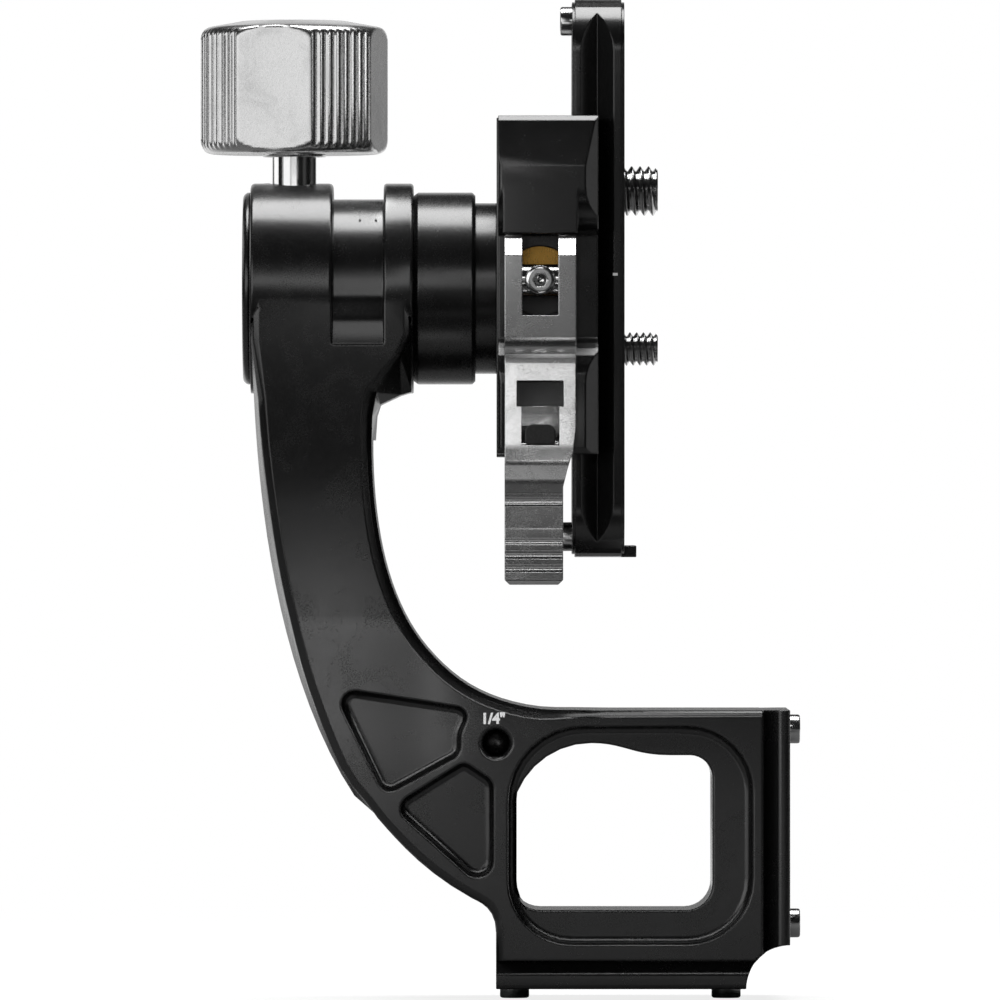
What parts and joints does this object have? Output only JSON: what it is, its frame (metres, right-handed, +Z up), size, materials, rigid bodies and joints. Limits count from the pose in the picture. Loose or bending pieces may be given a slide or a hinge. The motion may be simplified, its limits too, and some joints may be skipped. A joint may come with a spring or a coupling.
{
  "type": "gimbal tripod head",
  "caption": "C-shaped gimbal head arm on dovetail rails, with a tilting lever clamp, a sliding lens plate with camera studs, and a knob that locks the tilt.",
  "frame": {"origin": "centre of the base rail's face, in the middle of the arm's thickness", "axes": "+X from the barrel towards the camera side, +Y from the clamp lever towards the back, +Z up from the base rail"},
  "size_m": [0.113, 0.07, 0.188],
  "materials": {
    "anodised_arm": "satin black anodising",
    "anodised_hub": "satin black anodising",
    "anodised_clamp": "satin black anodising",
    "anodised_plate": "satin black anodising",
    "silver_knob": "turned and knurled, clear anodised",
    "silver_lever": "polished casting",
    "bright_steel": "bright plated",
    "screw_steel": "stainless",
    "race_steel": "ground",
    "spring_steel": "plain",
    "brass_seat": "turned",
    "brass_pad": "plain",
    "grey_button": "fine grain"
  },
  "bodies": {
    "frame": {"frame_arm": "anodised_arm", "end_cap": "anodised_arm", "bearing_outer_races": "race_steel", "bearing_balls": "bright_steel", "base_stop_screws": "screw_steel", "side_stop_screws": "screw_steel"},
    "tilt": {"tilt_hub": "anodised_hub", "brake_drum": "race_steel", "drum_screw": "screw_steel", "bearing_inner_races": "race_steel", "bearing_spacer": "race_steel", "clamp_base": "anodised_clamp", "clamp_mount_screws": "screw_steel", "jaw_guide_pins": "bright_steel", "jaw_springs": "spring_steel", "tie_screw": "screw_steel", "lever_trunnion": "bright_steel"},
    "pad": {"brake_pad": "brass_pad"},
    "knob": {"lock_knob": "silver_knob", "knob_stem": "bright_steel"},
    "jaw": {"clamp_jaw": "anodised_clamp", "cam_seat": "brass_seat"},
    "lever": {"clamp_lever": "silver_lever", "lock_spring": "spring_steel"},
    "lock": {"lock_slider": "bright_steel", "lock_button": "grey_button"},
    "plate": {"lens_plate": "anodised_plate", "plate_end_stop": "anodised_plate", "end_stop_screws": "screw_steel", "plate_stop_screws": "screw_steel"},
    "large_washer": {"stud_large_washer": "spring_steel"},
    "large_stud": {"stud_large": "screw_steel"},
    "small_washer": {"stud_small_washer": "spring_steel"},
    "small_stud": {"stud_small": "screw_steel"}
  },
  "joints": [
    {"name": "tilt_turn", "type": "hinge", "parent": "frame", "child": "tilt", "pos_m": [0, 0, 0.1316], "axis": [1, 0, 0], "continuous": true},
    {"name": "pad_slide", "type": "slide", "parent": "frame", "child": "pad", "axis": [0, 0, 1], "range_m": [0, 0.0025]},
    {"name": "knob_turn", "type": "hinge", "parent": "pad", "child": "knob", "pos_m": [-0.0615, 0, 0.1316], "axis": [0, 0, 1], "range_deg": [0, 720]},
    {"name": "lever_turn", "type": "hinge", "parent": "tilt", "child": "lever", "pos_m": [-0.0152, -0.03536, 0.13264], "axis": [-1, 0, 0], "range_deg": [0, 90]},
    {"name": "jaw_slide", "type": "slide", "parent": "tilt", "child": "jaw", "axis": [0, -1, 0], "range_m": [0, 0.002]},
    {"name": "lock_slide", "type": "slide", "parent": "lever", "child": "lock", "axis": [0, 0, 1], "range_m": [0, 0.002], "stiffness_N_per_m": 150, "springref_m": -0.002},
    {"name": "plate_slide", "type": "slide", "parent": "tilt", "child": "plate", "axis": [0, 0, 1], "range_m": [-0.0155, 0.012]},
    {"name": "large_washer_slide", "type": "slide", "parent": "plate", "child": "large_washer", "axis": [0, 0, 1], "range_m": [-0.006, 0.0085]},
    {"name": "large_stud_turn", "type": "hinge", "parent": "large_washer", "child": "large_stud", "pos_m": [0, 0, 0.15], "axis": [1, 0, 0], "continuous": true},
    {"name": "small_washer_slide", "type": "slide", "parent": "plate", "child": "small_washer", "axis": [0, 0, 1], "range_m": [-0.0115, 0.006]},
    {"name": "small_stud_turn", "type": "hinge", "parent": "small_washer", "child": "small_stud", "pos_m": [0, 0, 0.1202], "axis": [1, 0, 0], "continuous": true}
  ],
  "couplings": [
    {"joint": "knob_turn", "follows": "pad_slide", "rad_per_m": 5026.5},
    {"joint": "lever_turn", "follows": "jaw_slide", "rad_per_m": 785.4}
  ]
}
